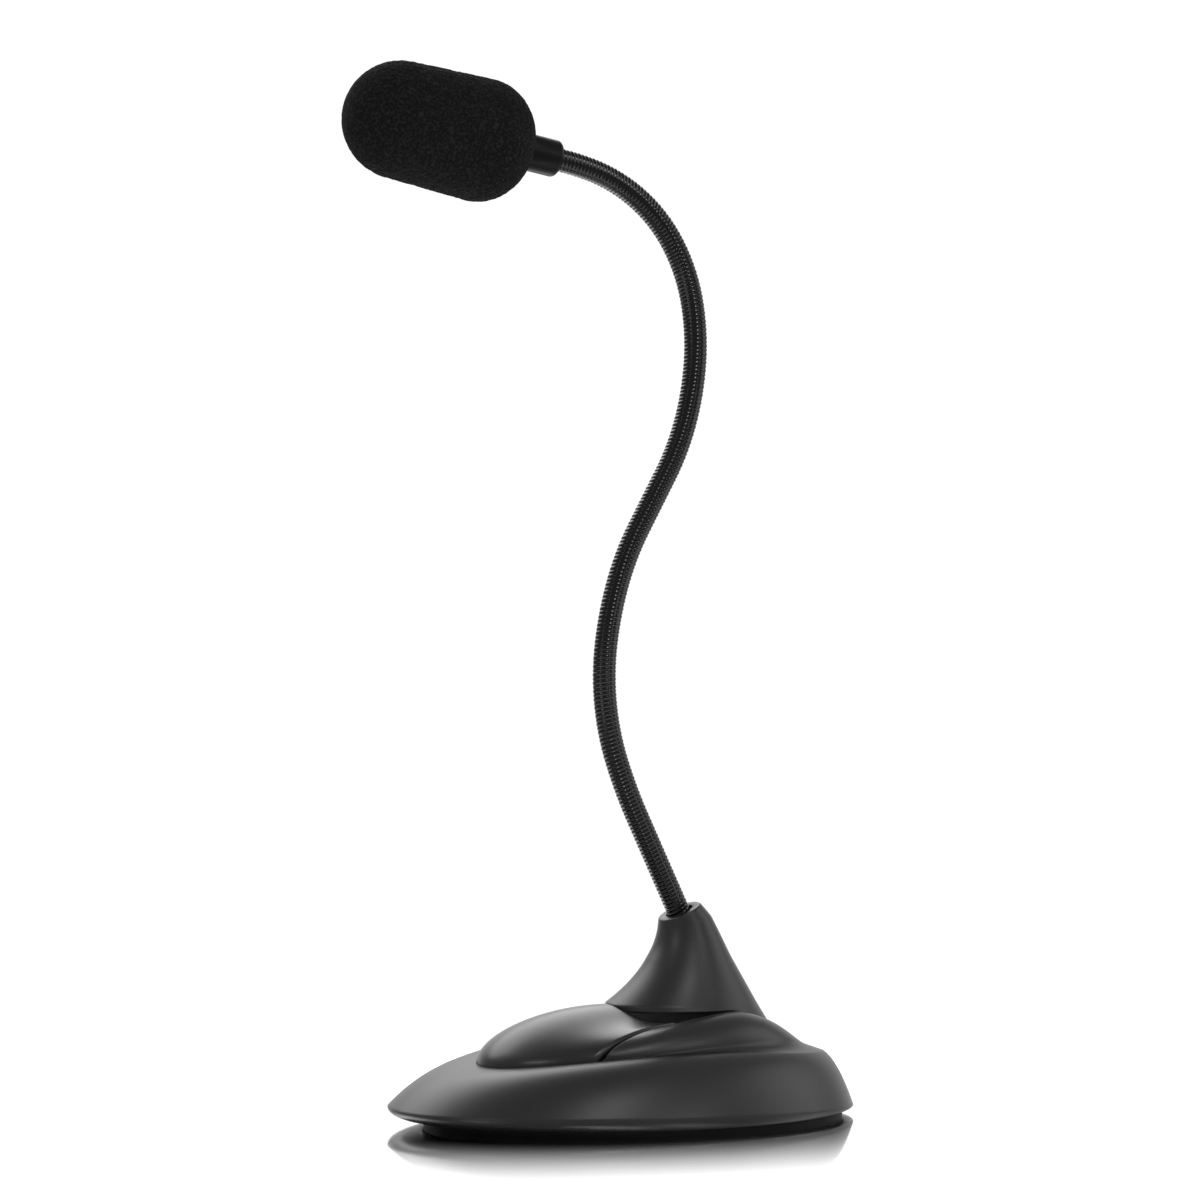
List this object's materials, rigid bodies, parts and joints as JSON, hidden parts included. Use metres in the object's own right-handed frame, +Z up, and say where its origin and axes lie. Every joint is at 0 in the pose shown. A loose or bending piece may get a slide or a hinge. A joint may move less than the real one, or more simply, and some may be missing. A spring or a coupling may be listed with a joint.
{
  "type": "desktop gooseneck microphone",
  "caption": "Desktop condenser microphone: thin wound gooseneck in an S-bend on a low moulded oval base with a leaning cone, under a foam windscreen.",
  "frame": {"origin": "table level under the middle of the base, on the face of the non-slip pad", "axes": "+Z up; the head points towards -Y and the lead leaves the base towards +Y; symmetric about x = 0"},
  "size_m": [0.084, 0.1347, 0.2591],
  "materials": {
    "base_plastic": "satin moulded plastic",
    "dome_plastic": "semi-gloss moulded plastic",
    "neck_metal": "black wound steel, semi-gloss",
    "lead_jacket": "black lead jacket",
    "rubber": "black rubber",
    "steel": "zinc plated steel",
    "barrel_metal": "black satin",
    "capsule_metal": "bare aluminium",
    "felt": "black felt",
    "board": "printed board",
    "foam": "open-cell foam"
  },
  "bodies": {
    "base": {"ballast_plate": "steel", "ballast_screw_1": "steel", "ballast_screw_2": "steel", "base_lead": "lead_jacket", "base_plate": "steel", "base_screw_1": "steel", "base_screw_2": "steel", "base_screw_3": "steel", "base_screw_4": "steel", "base_shell": "base_plastic", "cone_screw_1": "steel", "cone_screw_2": "steel", "front_dome": "dome_plastic", "lead_grommet": "rubber", "neck_cone": "base_plastic", "neck_nut": "steel", "neck_socket": "steel", "neck_washer": "steel", "non_slip_pad": "rubber", "gooseneck_link_00": "neck_metal", "mic_lead_00": "lead_jacket"},
    "link_01": {"gooseneck_link_01": "neck_metal", "mic_lead_01": "lead_jacket"},
    "link_02": {"gooseneck_link_02": "neck_metal", "mic_lead_02": "lead_jacket"},
    "link_03": {"gooseneck_link_03": "neck_metal", "mic_lead_03": "lead_jacket"},
    "link_04": {"gooseneck_link_04": "neck_metal", "mic_lead_04": "lead_jacket"},
    "link_05": {"gooseneck_link_05": "neck_metal", "mic_lead_05": "lead_jacket"},
    "link_06": {"gooseneck_link_06": "neck_metal", "mic_lead_06": "lead_jacket"},
    "link_07": {"gooseneck_link_07": "neck_metal", "mic_lead_07": "lead_jacket"},
    "link_08": {"gooseneck_link_08": "neck_metal", "mic_lead_08": "lead_jacket"},
    "link_09": {"gooseneck_link_09": "neck_metal", "mic_lead_09": "lead_jacket"},
    "link_10": {"gooseneck_link_10": "neck_metal", "mic_lead_10": "lead_jacket"},
    "link_11": {"gooseneck_link_11": "neck_metal", "mic_lead_11": "lead_jacket"},
    "link_12": {"gooseneck_link_12": "neck_metal", "mic_lead_12": "lead_jacket"},
    "link_13": {"gooseneck_link_13": "neck_metal", "mic_lead_13": "lead_jacket"},
    "head": {"gooseneck_link_14": "neck_metal", "mic_lead_14": "lead_jacket", "mic_barrel": "barrel_metal", "neck_clamp_ring": "steel", "capsule_sleeve": "rubber", "capsule_can": "capsule_metal", "capsule_backplate": "capsule_metal", "capsule_felt": "felt", "capsule_board": "board"},
    "windscreen": {"foam_windscreen": "foam"}
  },
  "joints": [
    {"name": "neck_bend_01", "type": "hinge", "parent": "base", "child": "link_01", "pos_m": [0, 0.01042, 0.06101], "axis": [1, 0, 0], "range_deg": [-12, 12]},
    {"name": "neck_side_02", "type": "hinge", "parent": "link_01", "child": "link_02", "pos_m": [0, 0.00394, 0.07454], "axis": [0, 0.9018, 0.4321], "range_deg": [-12, 12]},
    {"name": "neck_bend_03", "type": "hinge", "parent": "link_02", "child": "link_03", "pos_m": [0, -0.0017, 0.08843], "axis": [1, 0, 0], "range_deg": [-12, 12]},
    {"name": "neck_side_04", "type": "hinge", "parent": "link_03", "child": "link_04", "pos_m": [0, -0.00483, 0.10307], "axis": [0, 0.9952, 0.0976], "range_deg": [-12, 12]},
    {"name": "neck_bend_05", "type": "hinge", "parent": "link_04", "child": "link_05", "pos_m": [0, -0.0046, 0.11803], "axis": [1, 0, 0], "range_deg": [-12, 12]},
    {"name": "neck_side_06", "type": "hinge", "parent": "link_05", "child": "link_06", "pos_m": [0, -0.00145, 0.13268], "axis": [0, 0.9568, -0.2907], "range_deg": [-12, 12]},
    {"name": "neck_bend_07", "type": "hinge", "parent": "link_06", "child": "link_07", "pos_m": [0, 0.00438, 0.14647], "axis": [1, 0, 0], "range_deg": [-12, 12]},
    {"name": "neck_side_08", "type": "hinge", "parent": "link_07", "child": "link_08", "pos_m": [0, 0.01163, 0.1596], "axis": [0, 0.8755, -0.4833], "range_deg": [-12, 12]},
    {"name": "neck_bend_09", "type": "hinge", "parent": "link_08", "child": "link_09", "pos_m": [0, 0.01733, 0.17344], "axis": [1, 0, 0], "range_deg": [-12, 12]},
    {"name": "neck_side_10", "type": "hinge", "parent": "link_09", "child": "link_10", "pos_m": [0, 0.01991, 0.18819], "axis": [0, 0.9977, -0.068], "range_deg": [-12, 12]},
    {"name": "neck_bend_11", "type": "hinge", "parent": "link_10", "child": "link_11", "pos_m": [0, 0.01903, 0.20313], "axis": [1, 0, 0], "range_deg": [-12, 12]},
    {"name": "neck_side_12", "type": "hinge", "parent": "link_11", "child": "link_12", "pos_m": [0, 0.01384, 0.21712], "axis": [0, 0.8652, 0.5015], "range_deg": [-12, 12]},
    {"name": "neck_bend_13", "type": "hinge", "parent": "link_12", "child": "link_13", "pos_m": [0, 0.004, 0.22831], "axis": [1, 0, 0], "range_deg": [-12, 12]},
    {"name": "neck_side_14", "type": "hinge", "parent": "link_13", "child": "head", "pos_m": [0, -0.00931, 0.23506], "axis": [0, 0.2823, 0.9593], "range_deg": [-12, 12]},
    {"name": "windscreen_pull", "type": "slide", "parent": "head", "child": "windscreen", "axis": [0, -0.9833, 0.1822], "range_m": [0, 0.05]}
  ],
  "couplings": [
    {"joint": "neck_bend_03", "follows": "neck_bend_01", "ratio": 1},
    {"joint": "neck_bend_05", "follows": "neck_bend_01", "ratio": 1},
    {"joint": "neck_bend_07", "follows": "neck_bend_01", "ratio": 1},
    {"joint": "neck_bend_11", "follows": "neck_bend_09", "ratio": 1},
    {"joint": "neck_bend_13", "follows": "neck_bend_09", "ratio": 1},
    {"joint": "neck_side_04", "follows": "neck_side_02", "ratio": 1},
    {"joint": "neck_side_06", "follows": "neck_side_02", "ratio": 1},
    {"joint": "neck_side_10", "follows": "neck_side_08", "ratio": 1},
    {"joint": "neck_side_12", "follows": "neck_side_08", "ratio": 1},
    {"joint": "neck_side_14", "follows": "neck_side_08", "ratio": 1}
  ]
}
